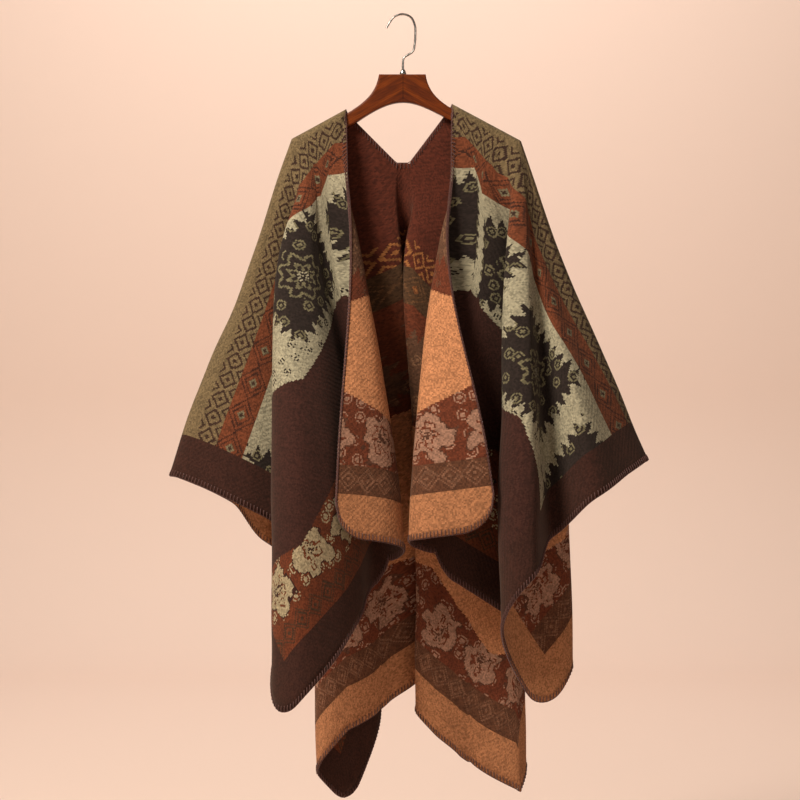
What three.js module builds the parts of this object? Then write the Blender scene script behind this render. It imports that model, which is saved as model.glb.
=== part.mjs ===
import * as THREE from 'three';

// A shawl cape on a wooden hanger, in millimetres, +Z up.
// The viewer stands on the -Y side and +X is to their right.
// The origin is the inner top of the hook's bow, where a rail carries it.

// The cut: one oblong cloth with rounded corners and a slit from the front hem to behind the neck.
// The ridges lie some degrees behind or ahead of the line of the arms in the flat cloth.
const HALF_WIDTH = 640;
const FRONT_LENGTH = 650;
const BACK_LENGTH = 843;
const CORNER_RADIUS = 50;
const BIAS_STRETCH = 0.045;
const SLIT_HALF = 12;
const LEFT_RIDGE_BEHIND = 2;
const RIGHT_RIDGE_AHEAD = 5;
const WALL = 2.5;
const SEAM_GAP = 0.3;

// The widest that two lines of corners in the wall lie apart at mid height.
const LINE_SPACING = 24;

// The hanger.
const WOOD_THICK = 12;
const WOOD_BEVEL = 2.4;
const ARM_TIP = 155;
const WIRE_RADIUS = 1.7;
const FERRULE_RADIUS = 5;
const FERRULE_LENGTH = 7;

// Heights of the plan sections that the folds are drawn at.
const Z_TOP = -240;
const Z_HIGH = -330;
const Z_MID = -650;
const Z_LOW = -1000;

// How far the cloth stands off when it comes over the hanger's arm.
const OVER_ARM = 8.5;

// Where the cloth starts: on the arms, at the neck edge and where the front edges begin to turn out.
// u runs across the flat cloth and v towards the hem of its own half, both from the middle of the neck.
// Rows that share a start are spread from it to the place of the same name with a 2.
const STARTS = {
  left: {
    P: { x: -166, y: 0, z: -186, top: Z_TOP, round: 0, u: -103.5, v: 0 },
    P2: { x: -142, y: 0, z: -173, top: Z_TOP, round: 0, u: -76.5, v: 0 },
    N: { x: -85.5, y: 0, z: -142, top: Z_TOP, round: 0, u: -12, v: 0 },
    T: { x: -85.5, y: -6.2, z: -144.6, top: Z_TOP, round: 2.6, u: -12, v: 7 },
    E: { x: -85.5, y: -8.5, z: -152, top: Z_TOP, round: 8.5, u: -12, v: 14 },
    E2: { x: -85.5, y: -8.6, z: -154.5, top: Z_TOP, round: 8.5, u: -12, v: 16.5 },
  },
  right: {
    P: { x: 176, y: 0, z: -189, top: Z_TOP, round: 0, u: 128, v: 0 },
    P2: { x: 152, y: 0, z: -176, top: Z_TOP, round: 0, u: 101, v: 0 },
    N: { x: 73.5, y: 0, z: -134, top: Z_TOP, round: 0, u: 12, v: 0 },
    T: { x: 73.5, y: -6.2, z: -136.6, top: Z_TOP, round: 2.6, u: 12, v: 7 },
    E: { x: 73.5, y: -8.5, z: -144, top: Z_TOP, round: 8.5, u: 12, v: 14 },
    E2: { x: 73.5, y: -8.8, z: -149, top: Z_TOP, round: 8.5, u: 12, v: 19 },
  },
  back: {
    PL: { x: -166, y: 0, z: -186, top: Z_TOP, round: 0, u: -103.5, v: 0 },
    PL2: { x: -142, y: 0, z: -173, top: Z_TOP, round: 0, u: -76.5, v: 0 },
    NL: { x: -85.5, y: 0, z: -142, top: Z_TOP, round: 0, u: -12, v: 0 },
    TL: { x: -85, y: 6.2, z: -144.6, top: Z_TOP, round: 2.6, u: -12, v: 7 },
    EL: { x: -79, y: 8.5, z: -152, top: Z_TOP, round: 8.5, u: -12, v: 18 },
    C: { x: -10, y: 20, z: -220, top: -275, round: 8.5, u: -12, v: 110 },
    C2: { x: 10, y: 20, z: -220, top: -275, round: 8.5, u: 12, v: 110 },
    ER: { x: 68, y: 8.5, z: -144, top: Z_TOP, round: 8.5, u: 12, v: 18 },
    TR: { x: 73, y: 6.2, z: -136.6, top: Z_TOP, round: 2.6, u: 12, v: 7 },
    NR: { x: 73.5, y: 0, z: -134, top: Z_TOP, round: 0, u: 12, v: 0 },
    PR: { x: 152, y: 0, z: -176, top: Z_TOP, round: 0, u: 101, v: 0 },
    PR2: { x: 176, y: 0, z: -189, top: Z_TOP, round: 0, u: 128, v: 0 },
  },
};

// Each row is one line of the cloth from its start down to the hem, at a fold's edge, crest or valley.
// Columns: name, start, then x and y where it passes the top, high, mid and low sections.
const FRONT_LEFT = [
  ['ridge', 'P', -185.5, 0, -214, 0, -339, 0, -455, 0],
  ['ridge turn', 'P', -183.5, -7, -210.5, -8, -332, -11, -447, -12],
  ['sleeve outer', 'P', -179.5, -11, -200, -12, -290, -30, -372, -48],
  ['sleeve middle', 'P', -174, -14, -187, -13, -233, -38, -272, -64],
  ['sleeve inner', 'P', -168, -15, -175, -12, -181, -25, -190, -38],
  ['valley', 'P', -162, -16, -160, -10, -118, -6, -100, -6],
  ['valley turn', 'P', -158, -17, -157, -15, -106, -22, -88, -24],
  ['tuck', 'P', -154, -18, -166, -22, -150, -55, -150, -66],
  ['fold edge', 'P', -150, -19, -175, -29, -187, -80, -186, -98],
  ['fold turn', 'P', -145, -20, -174, -38, -184, -115, -184, -136],
  ['crest', 'P', -142, -21, -160, -44, -152, -140, -142, -160],
  ['flank', 'P', -138, -20, -141, -41, -112, -122, -92, -132],
  ['inner flank', 'P', -133, -19, -130, -31, -76, -78, -58, -82],
  ['deep', 'P', -126, -18, -120, -20, -50, -28, -36, -28],
  ['neck line', 'N', -112, -16, -108, -17, -34, -28, -16, -28],
  ['neck turn', 'T', -108, -16, -104, -18, -30, -30, -12, -30],
  ['lapel root', 'E', -103, -17, -86, -20, -14, -48, 6, -55],
  ['lapel fold', 'E', -96, -17.5, -74, -25, -12, -74, 8, -90],
  ['lapel turn', 'E', -91, -18.5, -69, -32, -28, -96, -15, -118],
  ['lapel middle', 'E', -86.5, -20.5, -71, -40, -62, -112, -60, -136],
  ['front edge', 'E', -83, -23.5, -78, -46, -94, -122, -105, -152],
];
const FRONT_RIGHT = [
  ['ridge', 'P', 193.5, 0, 224, 0, 360, 0, 480, 0],
  ['ridge turn', 'P', 191.5, -7, 220.5, -8, 353, -15, 472, -15],
  ['sleeve outer', 'P', 187.5, -11, 208, -14, 318, -52, 408, -76],
  ['sleeve middle', 'P', 184, -14, 197, -22, 268, -98, 320, -124],
  ['valley', 'P', 180, -17, 189, -26, 213, -52, 230, -70],
  ['crest', 'P', 176, -20, 178, -42, 181, -122, 186, -150],
  ['flank', 'P', 171, -21, 166, -43, 158, -116, 164, -148],
  ['fold edge', 'P', 166, -20, 156, -33, 141, -88, 146, -117],
  ['tuck', 'P', 162, -19, 160, -24, 150, -62, 156, -80],
  ['under', 'P', 158, -18, 172, -19, 190, -34, 200, -42],
  ['under outer', 'P', 154, -17, 182, -16, 226, -26, 243, -30],
  ['second fold', 'P', 149, -15, 185, -10, 238, -16, 254, -18],
  ['second turn', 'P', 143, -14, 178, -5, 226, -5, 240, -6],
  ['panel outer', 'P', 135, -15, 160, -6, 180, -11, 185, -14],
  ['panel middle', 'P', 130, -16, 141, -15, 128, -28, 125, -38],
  ['panel inner', 'P', 121, -17, 124, -19, 85, -45, 75, -60],
  ['neck line', 'N', 108, -16, 109, -18, 56, -50, 42, -70],
  ['neck turn', 'T', 104, -16, 102, -18, 50, -52, 36, -72],
  ['lapel root', 'E', 98, -17, 80, -20, 26, -60, 10, -82],
  ['lapel fold', 'E', 90, -17.5, 63, -25, 17, -82, 5, -105],
  ['lapel turn', 'E', 82, -18.5, 58, -32, 32, -98, 30, -126],
  ['lapel middle', 'E', 76, -20.5, 60, -40, 78, -108, 95, -136],
  ['front edge', 'E', 72, -23.5, 66, -47, 122, -112, 165, -138],
];
const BACK = [
  ['left ridge', 'PL', -185.5, 0, -214, 0, -339, 0, -455, 0],
  ['left turn', 'PL', -183.5, 7, -210.5, 8, -332, 15, -445, 15],
  ['left outer', 'PL', -179.5, 11, -201, 14, -292, 62, -380, 95],
  ['left middle', 'PL', -174, 14, -190, 19, -247, 106, -302, 145],
  ['left dip', 'PL', -168, 16, -184, 18, -203, 66, -225, 94],
  ['left inner', 'PL', -162, 18, -172, 25, -160, 104, -160, 136],
  ['left crest', 'PL', -156, 19, -158, 36, -112, 146, -88, 178],
  ['left bend', 'PL', -151, 20, -146, 38, -72, 132, -44, 160],
  ['left turn under', 'PL', -146, 19, -143, 28, -76, 92, -42, 115],
  ['left under', 'PL', -141, 18, -149, 21, -112, 64, -92, 82],
  ['left fold', 'PL', -136, 16, -159, 13, -148, 42, -136, 55],
  ['left fold turn', 'PL', -131, 15, -154, 6, -142, 26, -130, 36],
  ['left shoulder', 'PL', -120, 15, -140, 10, -100, 26, -86, 38],
  ['left neck line', 'NL', -86, 14, -84, 16, -45, 42, -35, 58],
  ['left neck turn', 'TL', -82, 14, -80, 16, -42, 43, -32, 59],
  ['left neck edge', 'EL', -72, 16, -70, 17, -36, 45, -26, 62],
  ['centre left', 'C', -12, 22, -6, 22, 20, 56, 27, 78],
  ['pleat left', 'C', -10, 25, -7, 31, 20, 76, 27, 104],
  ['pleat flank', 'C', -8, 28, -10, 41, -8, 115, -15, 155],
  ['pleat floor', 'C', -2, 31, 2, 50, 12, 155, 10, 205],
  ['centre', 'C', 4, 31, 14, 50, 55, 165, 65, 218],
  ['pleat bend', 'C', 9, 28, 22, 41, 90, 135, 110, 180],
  ['pleat right', 'C', 12, 25, 20, 29, 76, 88, 88, 115],
  ['pleat under', 'C', 15, 22, 13, 20, 38, 50, 44, 66],
  ['centre right', 'C', 18, 19, 7, 12, 17, 23, 22, 35],
  ['centre turn', 'C', 23, 17, 17, 7, 34, 12, 40, 22],
  ['right neck edge', 'ER', 64, 15, 52, 9, 76, 18, 84, 28],
  ['right neck turn', 'TR', 77, 14, 67, 10, 87, 21, 94, 32],
  ['right neck line', 'NR', 82, 14, 72, 10, 92, 22, 100, 34],
  ['right shoulder', 'PR', 122, 15, 142, 10, 154, 30, 168, 44],
  ['right fold', 'PR', 133, 15.5, 163, 9, 174, 36, 178, 50],
  ['right fold turn', 'PR', 138, 16.5, 167, 14, 181, 48, 186, 64],
  ['right under', 'PR', 142, 18, 161, 19.5, 152, 66, 154, 88],
  ['right turn under', 'PR', 148, 20, 152, 27, 122, 86, 120, 110],
  ['right bend', 'PR', 156, 20, 153, 35, 120, 120, 120, 148],
  ['right crest', 'PR', 163, 20, 165, 36, 162, 142, 168, 174],
  ['right inner', 'PR', 171, 18, 180, 26, 205, 118, 218, 146],
  ['right dip', 'PR', 177, 16, 191, 18, 242, 57, 268, 78],
  ['right middle', 'PR', 182, 14, 199, 20, 288, 124, 340, 158],
  ['right outer', 'PR', 187, 11, 210, 14, 322, 62, 408, 92],
  ['right turn', 'PR', 191.5, 7, 220.5, 8, 352, 15, 470, 15],
  ['right ridge', 'PR', 193.5, 0, 224, 0, 360, 0, 480, 0],
];

// Distances down a line, as shares of its length, where the wall has a row of corners.
const ROW_SHARES = [0, 0.004, 0.01, 0.018, 0.04, 0.08, 0.13, 0.2, 0.29, 0.4, 0.52, 0.65, 0.78, 0.9, 1];

// Smooth curve through values at uneven knots, with the slope at a knot taken from both its neighbours.
function throughKnots(knots, values, at) {
  const last = knots.length - 1;
  let i = 0;
  while (i < last - 1 && at > knots[i + 1]) i += 1;
  const step = (k) => knots[k + 1] - knots[k];
  const slope = (k) => (values[k + 1] - values[k]) / step(k);
  const tangent = (k) => {
    if (k === 0) return slope(0);
    if (k === last) return slope(last - 1);
    return (slope(k - 1) * step(k) + slope(k) * step(k - 1)) / (step(k) + step(k - 1));
  };
  const h = step(i);
  const s = (at - knots[i]) / h;
  if (s > 1) return values[i + 1] + tangent(i + 1) * (at - knots[i + 1]);
  const a = tangent(i);
  const b = tangent(i + 1);
  const s2 = s * s;
  const s3 = s2 * s;
  return (2 * s3 - 3 * s2 + 1) * values[i] + (s3 - 2 * s2 + s) * h * a
    + (3 * s2 - 2 * s3) * values[i + 1] + (s3 - s2) * h * b;
}

// Distance in the flat cloth from (u, v) to its rounded outline, going out at an angle from the weft.
function toOutline(u, v, angle, length, slit) {
  const du = Math.cos(angle);
  const dv = Math.sin(angle);
  const inside = (r) => {
    const x = Math.abs(u + r * du);
    const y = v + r * dv;
    if (x > HALF_WIDTH || y > length) return false;
    const ey = y - (length - CORNER_RADIUS);
    const outer = x - (HALF_WIDTH - CORNER_RADIUS);
    const inner = slit ? SLIT_HALF + CORNER_RADIUS - x : 0;
    const ex = Math.max(outer, inner);
    return ex <= 0 || ey <= 0 || ex * ex + ey * ey <= CORNER_RADIUS * CORNER_RADIUS;
  };
  let near = 0;
  let far = 2000;
  for (let k = 0; k < 40; k += 1) {
    const middle = (near + far) / 2;
    if (inside(middle)) near = middle;
    else far = middle;
  }
  return near;
}

// A table's rows with their start joined on: x, y and z at the start, top, high, mid and low sections.
function joinRows(table, starts) {
  return table.map((row, index) => {
    const [name, start, xTop, yTop, xHigh, yHigh, xMid, yMid, xLow, yLow] = row;
    const alike = table.filter((other) => other[1] === start);
    const from = starts[start];
    const to = starts[`${start}2`] || from;
    const share = alike.length > 1 ? alike.indexOf(table[index]) / (alike.length - 1) : 0;
    const at = (key) => from[key] + (to[key] - from[key]) * share;
    return {
      name,
      x: [at('x'), xTop, xHigh, xMid, xLow],
      y: [at('y'), yTop, yHigh, yMid, yLow],
      z: [at('z'), at('top'), Z_HIGH, Z_MID, Z_LOW],
      round: at('round'),
      over: Math.min(1, Math.abs(yTop) / 11),
      u: at('u'),
      v: at('v'),
    };
  });
}

// The lines of one sheet: one at each row, with more between rows that lie far apart. They are smooth
// across the folds and straight along the starts.
function spreadLines(rows) {
  const knots = [0];
  for (let i = 1; i < rows.length; i += 1) {
    const across = Math.hypot(rows[i].x[3] - rows[i - 1].x[3], rows[i].y[3] - rows[i - 1].y[3]);
    knots.push(knots[i - 1] + across + 8);
  }
  const lines = [];
  const addLine = (i, share) => {
    const at = knots[i] + share * (knots[i + 1] - knots[i]);
    const straight = (get) => get(rows[i]) * (1 - share) + get(rows[i + 1]) * share;
    const smooth = (get) => throughKnots(knots, rows.map(get), at);
    const line = { x: [], y: [], z: [] };
    line.over = straight((row) => row.over);
    line.round = straight((row) => row.round);
    line.u = straight((row) => row.u);
    line.v = straight((row) => row.v);
    for (let k = 0; k < 5; k += 1) {
      const read = k === 0 ? straight : smooth;
      line.x.push(read((row) => row.x[k]));
      line.y.push(read((row) => row.y[k]));
      line.z.push(straight((row) => row.z[k]));
    }
    lines.push(line);
  };
  for (let i = 0; i < rows.length - 1; i += 1) {
    const between = Math.max(1, Math.round((knots[i + 1] - knots[i] - 8) / LINE_SPACING));
    for (let n = 0; n < between; n += 1) addLine(i, n / between);
  }
  addLine(rows.length - 2, 1);
  return lines;
}

// Gives each line its angle in the flat cloth: the width between lines at mid height, less the width
// that the starts already have, over the length so far; the whole sheet then fills its turn.
function giveAngles(lines, from, to) {
  const angles = [0];
  for (let i = 1; i < lines.length; i += 1) {
    const a = lines[i - 1];
    const b = lines[i];
    const across = Math.hypot(b.x[3] - a.x[3], b.y[3] - a.y[3]);
    const started = Math.hypot(b.u - a.u, b.v - a.v);
    const reach = Math.hypot(b.x[3] - b.x[0], b.y[3] - b.y[0], b.z[3] - b.z[0]);
    angles.push(angles[i - 1] + Math.max(0.15 * across, across - started) / reach);
  }
  const whole = angles[angles.length - 1];
  lines.forEach((line, i) => {
    line.angle = from + (to - from) * angles[i] / whole;
  });
  return whole / Math.abs(to - from);
}

// How far short of its full distance from the arm's middle a line still is, on the quarter round that
// it comes over the arm by.
function shortOfFull(line, depth) {
  const t = Math.min(1, (line.round + depth) / OVER_ARM);
  return OVER_ARM * line.over * (1 - Math.sqrt(1 - (1 - t) * (1 - t)));
}

// A point of a line at a depth below its start.
function atDepth(line, depth, side) {
  const depths = line.z.map((z) => line.z[0] - z);
  const y = line.y.slice();
  y[0] += side * shortOfFull(line, 0);
  return new THREE.Vector3(
    throughKnots(depths, line.x, depth),
    throughKnots(depths, y, depth) - side * shortOfFull(line, depth),
    line.z[0] - depth,
  );
}

// Points down a line at given lengths of cloth, measured along its own curve.
function downLine(line, lengths, side) {
  const points = [];
  let depth = 0;
  let before = atDepth(line, 0, side);
  let run = 0;
  lengths.forEach((wanted) => {
    while (run < wanted) {
      const step = Math.min(depth < 12 ? 0.5 : 6, (wanted - run) * 0.9 + 0.02);
      depth += step;
      const next = atDepth(line, depth, side);
      run += next.distanceTo(before);
      before = next;
    }
    points.push(before.clone());
  });
  return points;
}

// The middle surface of a sheet: a row of points per line, all in cloth lengths from the start.
function drape(table, starts, length, side, from, to) {
  const lines = spreadLines(joinRows(table, starts));
  giveAngles(lines, from, to);
  return lines.map((line) => {
    const stretch = 1 + BIAS_STRETCH * Math.sin(2 * line.angle) ** 2;
    const reach = stretch * toOutline(line.u, line.v, line.angle, length, side < 0);
    const points = downLine(line, ROW_SHARES.map((share) => share * reach), side);
    points.forEach((point) => {
      point.y = side * Math.max(side * point.y, SEAM_GAP / 2);
    });
    return points;
  });
}

// Where a line passes the top section, found between its points.
function atHeight(points) {
  let j = 0;
  while (j < points.length - 2 && points[j + 1].z > Z_TOP) j += 1;
  const share = (points[j].z - Z_TOP) / (points[j].z - points[j + 1].z);
  return points[j].clone().lerp(points[j + 1], share);
}

// Turns a grid of points into a closed wall: two faces half the thickness off the middle, and a rim.
function wallFromGrid(grid) {
  const lines = grid.length;
  const rows = grid[0].length;
  const middle = (i, j) => grid[Math.min(Math.max(i, 0), lines - 1)][Math.min(Math.max(j, 0), rows - 1)];
  const positions = [];
  for (let face = -1; face <= 1; face += 2) {
    for (let i = 0; i < lines; i += 1) {
      for (let j = 0; j < rows; j += 1) {
        const level = grid[i][j].z > Z_TOP;
        const across = level
          ? atHeight(grid[Math.min(i + 2, lines - 1)]).sub(atHeight(grid[Math.max(i - 2, 0)]))
          : middle(i + 1, j).clone().sub(middle(i - 1, j));
        const down = middle(i, j + 1).clone().sub(middle(i, j - 1));
        const normal = across.cross(down);
        const onRidge = Math.abs(grid[i][j].y) < SEAM_GAP / 2 + 0.01;
        if (onRidge) normal.setY(0);
        normal.normalize().multiplyScalar(face * WALL / 2);
        const point = grid[i][j].clone().add(normal);
        positions.push(point.x, point.y, point.z);
      }
    }
  }
  const indices = [];
  const corner = (face, i, j) => (face * lines + i) * rows + j;
  const quad = (a, b, c, d) => indices.push(a, b, c, a, c, d);
  for (let i = 0; i < lines - 1; i += 1) {
    for (let j = 0; j < rows - 1; j += 1) {
      quad(corner(1, i, j), corner(1, i, j + 1), corner(1, i + 1, j + 1), corner(1, i + 1, j));
      quad(corner(0, i, j), corner(0, i + 1, j), corner(0, i + 1, j + 1), corner(0, i, j + 1));
    }
    quad(corner(1, i, 0), corner(1, i + 1, 0), corner(0, i + 1, 0), corner(0, i, 0));
    const end = rows - 1;
    quad(corner(1, i + 1, end), corner(1, i, end), corner(0, i, end), corner(0, i + 1, end));
  }
  for (let j = 0; j < rows - 1; j += 1) {
    const end = lines - 1;
    quad(corner(1, 0, j + 1), corner(1, 0, j), corner(0, 0, j), corner(0, 0, j + 1));
    quad(corner(1, end, j), corner(1, end, j + 1), corner(0, end, j + 1), corner(0, end, j));
  }
  const geometry = new THREE.BufferGeometry();
  geometry.setAttribute('position', new THREE.Float32BufferAttribute(positions, 3));
  geometry.setIndex(indices);
  const volume = signedVolume(geometry);
  if (volume < 0) {
    for (let t = 0; t < indices.length; t += 3) indices.splice(t, 3, indices[t], indices[t + 2], indices[t + 1]);
    geometry.setIndex(indices);
  }
  geometry.computeVertexNormals();
  return geometry;
}

function signedVolume(geometry) {
  const position = geometry.getAttribute('position');
  const index = geometry.getIndex();
  const a = new THREE.Vector3();
  const b = new THREE.Vector3();
  const c = new THREE.Vector3();
  let total = 0;
  for (let t = 0; t < index.count; t += 3) {
    a.fromBufferAttribute(position, index.getX(t));
    b.fromBufferAttribute(position, index.getX(t + 1));
    c.fromBufferAttribute(position, index.getX(t + 2));
    total += a.dot(b.cross(c)) / 6;
  }
  return total;
}

// The hanger's wood: a flat board with a high middle, hollow shoulders and long sloping arms.
function woodGeometry() {
  const shape = new THREE.Shape();
  shape.moveTo(-36, -89);
  shape.lineTo(34, -89);
  shape.bezierCurveTo(37, -112, 50, -127, 73.5, -140.5);
  shape.lineTo(ARM_TIP + 5, -186);
  shape.bezierCurveTo(ARM_TIP + 10, -190, ARM_TIP + 8, -205, ARM_TIP - 2, -202);
  shape.lineTo(62, -153);
  shape.bezierCurveTo(30, -136, 16, -131, 0, -131);
  shape.bezierCurveTo(-18, -131, -38, -139, -68, -160);
  shape.lineTo(-ARM_TIP + 8, -200);
  shape.bezierCurveTo(-ARM_TIP - 2, -203, -ARM_TIP - 5, -190, -ARM_TIP, -184.5);
  shape.lineTo(-85.5, -148.5);
  shape.bezierCurveTo(-56, -131, -40, -116, -36, -89);
  const geometry = new THREE.ExtrudeGeometry(shape, {
    depth: WOOD_THICK - 2 * WOOD_BEVEL,
    bevelThickness: WOOD_BEVEL,
    bevelSize: WOOD_BEVEL,
    bevelOffset: -WOOD_BEVEL,
    bevelSegments: 3,
    curveSegments: 10,
  });
  geometry.translate(0, 0, -WOOD_THICK / 2 + WOOD_BEVEL);
  geometry.rotateX(Math.PI / 2);
  return geometry;
}

// The hook: a wire that rises from the ferrule, cranks to the right and bows over to a free end.
function hookGeometry() {
  const path = new THREE.CatmullRomCurve3([
    new THREE.Vector3(0, 0, -84),
    new THREE.Vector3(0, 0, -72),
    new THREE.Vector3(1, 0, -64),
    new THREE.Vector3(8, 0, -59),
    new THREE.Vector3(15, 0, -54),
    new THREE.Vector3(17.5, 0, -44),
    new THREE.Vector3(18.5, 0, -30),
    new THREE.Vector3(18, 0, -16),
    new THREE.Vector3(12, 0, -3),
    new THREE.Vector3(0, 0, WIRE_RADIUS),
    new THREE.Vector3(-13, 0, -2),
    new THREE.Vector3(-21, 0, -12),
    new THREE.Vector3(-25, 0, -19),
  ]);
  const round = new THREE.Shape();
  round.absarc(0, 0, WIRE_RADIUS, 0, 2 * Math.PI);
  return new THREE.ExtrudeGeometry(round, { steps: 36, curveSegments: 6, extrudePath: path });
}

// The ferrule that the wire stands in, a turned collar on the wood's flat top, bored for the wire.
function ferruleGeometry() {
  const profile = [
    new THREE.Vector2(WIRE_RADIUS + 0.3, 0),
    new THREE.Vector2(FERRULE_RADIUS, 0),
    new THREE.Vector2(FERRULE_RADIUS, 1.6),
    new THREE.Vector2(FERRULE_RADIUS - 1.4, FERRULE_LENGTH - 1.5),
    new THREE.Vector2(FERRULE_RADIUS - 2.2, FERRULE_LENGTH),
    new THREE.Vector2(WIRE_RADIUS + 0.3, FERRULE_LENGTH),
    new THREE.Vector2(WIRE_RADIUS + 0.3, 0),
  ];
  const geometry = new THREE.LatheGeometry(profile, 32);
  geometry.rotateX(Math.PI / 2);
  geometry.translate(0, 0, -88.7);
  return geometry;
}

function named(name, geometry, material) {
  const mesh = new THREE.Mesh(geometry, material);
  mesh.name = name;
  return mesh;
}

const cape = new THREE.Group();
cape.name = 'shawl_cape';
const down = Math.PI / 2;
const behind = LEFT_RIDGE_BEHIND * Math.PI / 180;
const ahead = RIGHT_RIDGE_AHEAD * Math.PI / 180;
const leftGrid = drape(FRONT_LEFT, STARTS.left, FRONT_LENGTH, -1, Math.PI + behind, down);
const rightGrid = drape(FRONT_RIGHT, STARTS.right, FRONT_LENGTH, -1, ahead, down);
const backGrid = drape(BACK, STARTS.back, BACK_LENGTH, 1, Math.PI - behind, -ahead);
const cloth = (colour) => new THREE.MeshStandardMaterial({ color: colour, roughness: 0.95 });
cape.add(named('front_left', wallFromGrid(leftGrid), cloth(0x7d4f36)));
cape.add(named('front_right', wallFromGrid(rightGrid), cloth(0x7a4c34)));
cape.add(named('back', wallFromGrid(backGrid), cloth(0x8a6242)));
const wood = new THREE.MeshStandardMaterial({ color: 0x4a1c10, roughness: 0.35 });
const steel = () => new THREE.MeshStandardMaterial({ color: 0x9a9a9c, roughness: 0.3, metalness: 1 });
cape.add(named('hanger_wood', woodGeometry(), wood));
cape.add(named('hanger_hook', hookGeometry(), steel()));
cape.add(named('hook_ferrule', ferruleGeometry(), steel()));

export default cape;
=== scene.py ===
# A shawl cape of double-faced blanket cloth on a wooden clothes hanger, in metres, +Z up.
# The viewer stands on the -Y side and +X is to their right.
# The origin is the inner top of the hook's bow, where a rail carries it.
import math

import bpy
import numpy as np
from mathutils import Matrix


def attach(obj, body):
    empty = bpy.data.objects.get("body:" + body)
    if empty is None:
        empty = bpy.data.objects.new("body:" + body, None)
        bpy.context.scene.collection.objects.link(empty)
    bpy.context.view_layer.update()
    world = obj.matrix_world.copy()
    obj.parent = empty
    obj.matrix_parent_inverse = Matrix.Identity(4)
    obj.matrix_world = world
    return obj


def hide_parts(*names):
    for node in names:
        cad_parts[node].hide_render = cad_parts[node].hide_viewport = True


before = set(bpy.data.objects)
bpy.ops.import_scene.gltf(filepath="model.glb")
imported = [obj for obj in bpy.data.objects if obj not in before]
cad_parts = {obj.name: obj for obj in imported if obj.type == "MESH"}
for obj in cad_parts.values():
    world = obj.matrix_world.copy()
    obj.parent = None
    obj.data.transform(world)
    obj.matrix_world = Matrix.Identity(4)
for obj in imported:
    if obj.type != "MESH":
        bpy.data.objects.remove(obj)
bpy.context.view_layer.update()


# The cape cloth. One oblong of wool blanket jacquard, 1.28 by 1.493 m with rounded corners, woven as a
# double cloth with a different face on each side, and slit from the front hem to behind the neck. It
# hangs over the hanger's two arms, and everything below them falls in folds under its own weight.
HALF_WIDTH = 640.0
FRONT_LENGTH = 650.0
BACK_LENGTH = 843.0
CORNER_RADIUS = 50.0
BIAS_STRETCH = 0.045
SLIT_HALF = 12.0
LEFT_RIDGE_BEHIND = math.radians(2)
RIGHT_RIDGE_AHEAD = math.radians(5)
CLOTH_THICK = 2.2
Z_TOP = -240.0
Z_HIGH = -330.0
Z_MID = -650.0
Z_LOW = -1000.0
OVER_ARM = 8.5

# Where the cloth starts: x, y, z, height of its top section, round it comes over the arm by, and its
# place in the flat cloth. Rows that share a start are spread from it to the same name with a 2.
FRONT_LEFT_STARTS = {
    "P": (-166, 0, -186, Z_TOP, 0, -103.5, 0),
    "P2": (-142, 0, -173, Z_TOP, 0, -76.5, 0),
    "N": (-85.5, 0, -142, Z_TOP, 0, -12, 0),
    "T": (-85.5, -6.2, -144.6, Z_TOP, 2.6, -12, 7),
    "E": (-85.5, -8.5, -152, Z_TOP, 8.5, -12, 14),
    "E2": (-85.5, -8.6, -154.5, Z_TOP, 8.5, -12, 16.5),
}
FRONT_RIGHT_STARTS = {
    "P": (176, 0, -189, Z_TOP, 0, 128, 0),
    "P2": (152, 0, -176, Z_TOP, 0, 101, 0),
    "N": (73.5, 0, -134, Z_TOP, 0, 12, 0),
    "T": (73.5, -6.2, -136.6, Z_TOP, 2.6, 12, 7),
    "E": (73.5, -8.5, -144, Z_TOP, 8.5, 12, 14),
    "E2": (73.5, -8.8, -149, Z_TOP, 8.5, 12, 19),
}
BACK_STARTS = {
    "PL": (-166, 0, -186, Z_TOP, 0, -103.5, 0),
    "PL2": (-142, 0, -173, Z_TOP, 0, -76.5, 0),
    "NL": (-85.5, 0, -142, Z_TOP, 0, -12, 0),
    "TL": (-85, 6.2, -144.6, Z_TOP, 2.6, -12, 7),
    "EL": (-79, 8.5, -152, Z_TOP, 8.5, -12, 18),
    "C": (-10, 20, -220, -275, 8.5, -12, 110),
    "C2": (10, 20, -220, -275, 8.5, 12, 110),
    "ER": (68, 8.5, -144, Z_TOP, 8.5, 12, 18),
    "TR": (73, 6.2, -136.6, Z_TOP, 2.6, 12, 7),
    "NR": (73.5, 0, -134, Z_TOP, 0, 12, 0),
    "PR": (152, 0, -176, Z_TOP, 0, 101, 0),
    "PR2": (176, 0, -189, Z_TOP, 0, 128, 0),
}

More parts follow.
